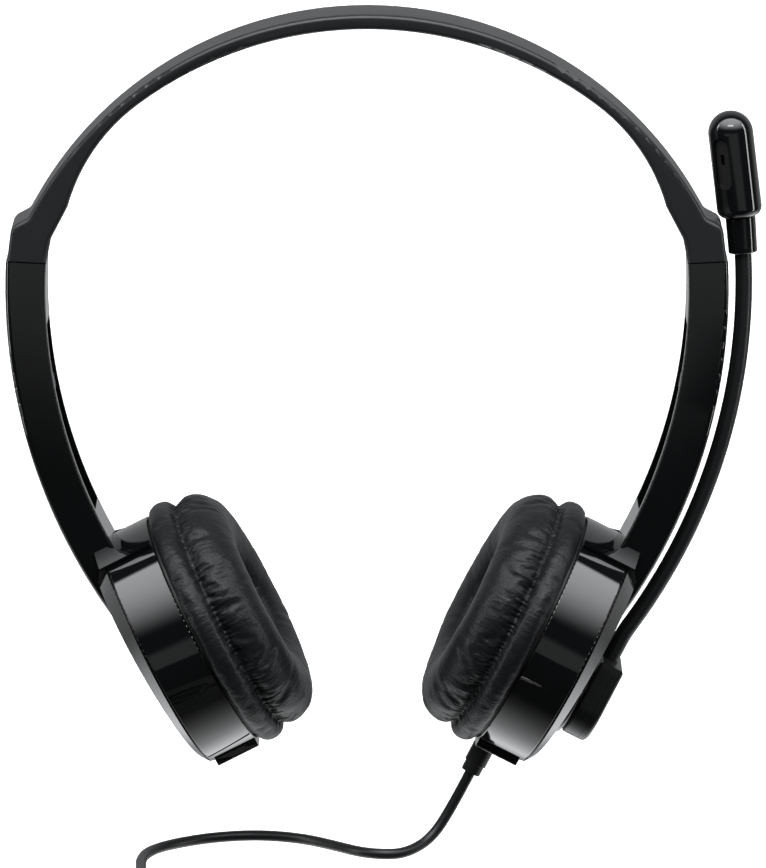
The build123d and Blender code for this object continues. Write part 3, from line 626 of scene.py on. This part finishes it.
cupSizes = {"centre": (45.5214, 0.0, -143.893), "tilt": 27.0}
cushionSizes = {
    "around": 288,
    "profileStep": 0.95,
    "grooveRadius": 27.5,
    "grooveDepth": 15.4,
    "pressure": 4.0,
    "spare": -0.015,          # the cover is cut larger by this share
    "cap": 0.9,               # how far the simulation may move the cover
    "simScale": 10.0,
    "simFrames": 20,
    "pleat": 0.5,             # depth of the fine pleats at the seam
    "fold": 0.9,              # depth of the broad folds
    "reach": 3.0,             # how far they run up the crown, and up the skirt below
    "skirtReach": 1.3,
    "foldReach": 2.2,         # share of that for the folds
    "skirtFold": 0.2,
    "fineRate": 27.0,         # of the noise that places pleats, folds and their swing
    "broadRate": 9.0,
    "swingRate": 3.0,
    "valleyWidth": 0.13,
    "ripple": 0.14,
    "rippleRate": 0.15,
    # foot, skirt roll, seam, crown, hole and the lip under it: (radius, depth from the cup's rim plane)
    "profile": [
        (27.7, 9.25), (28.6, 9.1), (29.5, 9.6), (29.95, 10.9), (29.95, 12.8), (29.5, 14.0), (28.5, 14.9),
        (27.5, 15.4),
        (28.3, 16.2), (28.75, 17.8), (28.3, 20.2), (26.5, 22.4), (23.6, 24.1), (20.0, 25.1),
        (17.0, 25.0), (14.4, 24.2), (12.4, 22.7), (11.4, 20.6), (11.2, 17.6), (11.2, 14.4), (11.5, 11.4),
        (13.0, 11.1),
        (21.0, 11.05), (27.3, 11.05), (27.7, 10.6),
    ],
}


coverCloth = {"quality": 5, "mass": 0.25, "tension_stiffness": 12, "compression_stiffness": 6,
              "shear_stiffness": 4, "bending_stiffness": 0.6}


def cupPlace():
    tilt = math.radians(cupSizes["tilt"])
    up = Vector((math.sin(tilt), 0, math.cos(tilt)))
    inwards = Vector((-math.cos(tilt), 0, math.sin(tilt)))
    return axes(cupSizes["centre"], up, inwards)


def smoothLoop(corners, step):
    # a closed Catmull-Rom line through the corners, in nearly even steps
    points = []
    count = len(corners)
    for index in range(count):
        before, here, after, beyond = [Vector(corners[(index + k) % count]) for k in (-1, 0, 1, 2)]
        parts = max(1, round((after - here).length / step))
        for part in range(parts):
            t = part / parts
            points.append(0.5 * ((2 * here) + (after - before) * t
                                 + (2 * before - 5 * here + 4 * after - beyond) * t * t
                                 + (3 * here - before - 3 * after + beyond) * t ** 3))
    return points


def cushionShell():
    loop = smoothLoop(cushionSizes["profile"], cushionSizes["profileStep"])
    steps = cushionSizes["around"]
    count = len(loop)
    vertices = []
    faces = []
    for step in range(steps):
        turn = 2 * math.pi * step / steps
        for point in loop:
            vertices.append((point.x * math.cos(turn), point.x * math.sin(turn), point.y))
    for step in range(steps):
        after = (step + 1) % steps
        for index in range(count):
            up = (index + 1) % count
            faces.append((step * count + index, after * count + index, after * count + up, step * count + up))
    return vertices, faces, loop


def inflate(shell, loop):
    # the cover swells under pressure between its held seam and its held foot; it is simulated larger
    sim = cushionSizes["simScale"]
    rest = [vertex.co.copy() for vertex in shell.data.vertices]
    held = shell.vertex_groups.new(name="held")
    groove = Vector((cushionSizes["grooveRadius"], cushionSizes["grooveDepth"]))
    count = len(loop)
    for index, point in enumerate(loop):
        weight = max(0.0, 1 - (point - groove).length / 1.1)
        if point.y < 11.6 and point.x < 28.4:
            weight = 1.0
        if weight > 0:
            held.add([step * count + index for step in range(cushionSizes["around"])], weight, "REPLACE")
    for vertex in shell.data.vertices:
        jitter = noise.noise(vertex.co * 420.0) * 0.00025
        vertex.co = (vertex.co + vertex.normal * jitter) * sim
    cloth = shell.modifiers.new("cloth", "CLOTH")
    for key, value in coverCloth.items():
        setattr(cloth.settings, key, value)
    cloth.settings.shrink_min = cushionSizes["spare"]
    cloth.settings.use_pressure = True
    cloth.settings.uniform_pressure_force = cushionSizes["pressure"]
    cloth.settings.vertex_group_mass = "held"
    cloth.settings.effector_weights.gravity = 0
    cloth.collision_settings.use_collision = False
    cloth.point_cache.frame_start = 1
    cloth.point_cache.frame_end = cushionSizes["simFrames"]
    for step in range(1, cushionSizes["simFrames"] + 1):
        scene.frame_set(step)
    settled = shell.evaluated_get(bpy.context.evaluated_depsgraph_get()).to_mesh()
    places = [vertex.co / sim for vertex in settled.vertices]
    shell.modifiers.remove(cloth)
    scene.frame_set(1)
    cap = cushionSizes["cap"] * millimetre
    for vertex, before, after in zip(shell.data.vertices, rest, places):
        move = after - before
        if move.length > cap:
            move = move.normalized() * cap
        vertex.co = before + move
    shell.vertex_groups.clear()


def gather(shell, seed):
    # pleats where the crown is gathered into the seam, deepest at the seam
    groove = Vector((cushionSizes["grooveRadius"], cushionSizes["grooveDepth"]))
    moves = []
    for vertex in shell.data.vertices:
        x, y, depth = vertex.co / millimetre
        around = math.hypot(x, y)
        onCrown = depth > cushionSizes["grooveDepth"]
        away = (Vector((around, depth)) - groove).length
        ring = Vector((x, y, 0)) / around
        fine = noise.noise(ring * cushionSizes["fineRate"] + Vector((seed, away * 0.12, 0)))
        broad = noise.noise(ring * cushionSizes["broadRate"] + Vector((0, seed, away * 0.1)))
        swing = noise.noise(ring * cushionSizes["swingRate"] + Vector((0, 0, seed)))
        reach = cushionSizes["skirtReach"]
        if onCrown:
            reach = cushionSizes["reach"] * (1.0 + 0.7 * swing + 0.8 * max(0.0, broad))
        valley = math.exp(-(fine / cushionSizes["valleyWidth"]) ** 2) * math.exp(-(away / reach) ** 2)
        fold = max(0.0, broad - 0.05) * math.exp(-(away / (reach * cushionSizes["foldReach"])) ** 2)
        fold *= 1.0 if onCrown else cushionSizes["skirtFold"]
        dip = -valley * cushionSizes["pleat"] - fold * cushionSizes["fold"]
        spot = Vector((x, y, depth * 1.4)) * cushionSizes["rippleRate"] + Vector((seed, seed, 0))
        ripple = noise.noise(spot) * cushionSizes["ripple"]
        hidden = depth < 11.8 and around < 28.0
        moves.append(vertex.normal * (dip + (0.0 if hidden else ripple)) * millimetre)
    for vertex, move in zip(shell.data.vertices, moves):
        vertex.co += move


grainSizes = {"ring": 0.026, "sectionMiddle": (0.0205, 0.0172), "turn": 0.0075}


def addGrain(shell):
    # coordinates that run round the cushion and round its section, for the leather's wrinkles
    middleRadius, middleDepth = grainSizes["sectionMiddle"]
    grain = shell.data.attributes.new("grain", "FLOAT_VECTOR", "POINT")
    for index, vertex in enumerate(shell.data.vertices):
        around = math.hypot(vertex.co.x, vertex.co.y)
        ring = Vector((vertex.co.x, vertex.co.y, 0)) / around * grainSizes["ring"]
        section = Vector((around - middleRadius, vertex.co.z - middleDepth))
        along = math.atan2(section.y, section.x) * grainSizes["turn"]
        grain.data[index].vector = (ring.x, ring.y, abs(along))


def subdivide(thing, levels):
    finer = thing.modifiers.new("finer", "SUBSURF")
    finer.levels = levels
    finer.render_levels = levels
    solidMesh(thing)


stitchSizes = {"radius": 27.75, "depth": 15.42, "count": 88, "length": 1.25, "thick": 0.34, "wander": 0.12}


def stitchTree():
    # short threads laid end to end round a circle
    tree = bpy.data.node_groups.new("seamStitches", "GeometryNodeTree")
    tree.interface.new_socket("Geometry", in_out="INPUT", socket_type="NodeSocketGeometry")
    for name in ("Radius", "Length", "Thickness", "Wander"):
        tree.interface.new_socket(name, in_out="INPUT", socket_type="NodeSocketFloat")
    for name in ("Count", "Seed"):
        tree.interface.new_socket(name, in_out="INPUT", socket_type="NodeSocketInt")
    tree.interface.new_socket("Thread", in_out="INPUT", socket_type="NodeSocketMaterial")
    tree.interface.new_socket("Geometry", in_out="OUTPUT", socket_type="NodeSocketGeometry")
    made = {}

    def node(kind, name, **settings):
        made[name] = tree.nodes.new(kind)
        for key, value in settings.items():
            setattr(made[name], key, value)
        return made[name]

    def link(source, output, target, socket):
        tree.links.new(made[source].outputs[output], made[target].inputs[socket])

    node("NodeGroupInput", "given")
    node("GeometryNodeCurvePrimitiveCircle", "seam")
    node("GeometryNodeCurveToPoints", "spots", mode="COUNT")
    node("GeometryNodeMeshUVSphere", "thread").inputs["Segments"].default_value = 8
    made["thread"].inputs["Rings"].default_value = 6
    made["thread"].inputs["Radius"].default_value = 0.5
    node("ShaderNodeCombineXYZ", "shape")
    node("FunctionNodeRandomValue", "jitter", data_type="FLOAT_VECTOR")
    node("ShaderNodeVectorMath", "spread", operation="SCALE")
    made["jitter"].inputs[0].default_value = (-1, -1, -1)
    made["jitter"].inputs[1].default_value = (1, 1, 1)
    node("GeometryNodeSetPosition", "moved")
    node("GeometryNodeInstanceOnPoints", "laid")
    node("GeometryNodeRealizeInstances", "real")
    node("GeometryNodeSetShadeSmooth", "rounded")
    node("GeometryNodeSetMaterial", "dyed")
    node("NodeGroupOutput", "result")
    link("given", "Radius", "seam", "Radius")
    link("seam", "Curve", "spots", "Curve")
    link("given", "Count", "spots", "Count")
    link("spots", "Points", "moved", "Geometry")
    link("given", "Seed", "jitter", "Seed")
    link("jitter", 0, "spread", 0)
    link("given", "Wander", "spread", "Scale")
    link("spread", 0, "moved", "Offset")
    link("moved", "Geometry", "laid", "Points")
    link("thread", "Mesh", "laid", "Instance")
    link("spots", "Rotation", "laid", "Rotation")
    link("given", "Thickness", "shape", 0)
    link("given", "Thickness", "shape", 1)
    link("given", "Length", "shape", 2)
    link("shape", 0, "laid", "Scale")
    link("laid", "Instances", "real", "Geometry")
    link("real", "Geometry", "rounded", "Geometry")
    link("rounded", "Geometry", "dyed", "Geometry")
    link("given", "Thread", "dyed", "Material")
    link("dyed", "Geometry", "result", "Geometry")
    return tree


def makeStitches(side, place, tree):
    stitches = meshObject("seamStitches_" + side, [], [])
    laid = stitches.modifiers.new("laid", "NODES")
    laid.node_group = tree
    given = {"Radius": stitchSizes["radius"] * millimetre, "Count": stitchSizes["count"], "Seed": 4,
             "Length": stitchSizes["length"] * millimetre, "Thickness": stitchSizes["thick"] * millimetre,
             "Wander": stitchSizes["wander"] * millimetre, "Thread": finishes["leatherette"]}
    sockets = {item.name: item.identifier for item in tree.interface.items_tree if item.in_out == "INPUT"}
    for name, value in given.items():
        laid[sockets[name]] = value
    solidMesh(stitches)
    stitches.data.transform(Matrix.Translation((0, 0, stitchSizes["depth"] * millimetre)))
    addGrain(stitches)
    stitches.data.transform(place)
    if side == "l":
        stitches.data.transform(Matrix.Scale(-1, 4, (1, 0, 0)))
        stitches.data.flip_normals()
    dress(stitches, "leatherette", "arm_" + side)


def makeCushions():
    vertices, faces, loop = cushionShell()
    base = meshObject("cushionBase", vertices, faces)
    inflate(base, loop)
    bpy.context.view_layer.update()
    subdivide(base, 1)
    tree = stitchTree()
    place = Matrix.Scale(millimetre, 4) @ cupPlace() @ Matrix.Scale(1 / millimetre, 4)
    for side, seed in (("r", 3.7), ("l", 9.2)):
        cushion = bpy.data.objects.new("earCushion_" + side, base.data.copy())
        scene.collection.objects.link(cushion)
        gather(cushion, seed)
        addGrain(cushion)
        cushion.data.transform(place)
        if side == "l":
            cushion.data.transform(Matrix.Scale(-1, 4, (1, 0, 0)))
        turnOutwards(cushion)
        for face in cushion.data.polygons:
            face.use_smooth = True
        dress(cushion, "leatherette", "arm_" + side)
        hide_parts("ear_cushion_" + side)
        makeStitches(side, place, tree)
    bpy.data.objects.remove(base)


makeCushions()
print("cushions made")
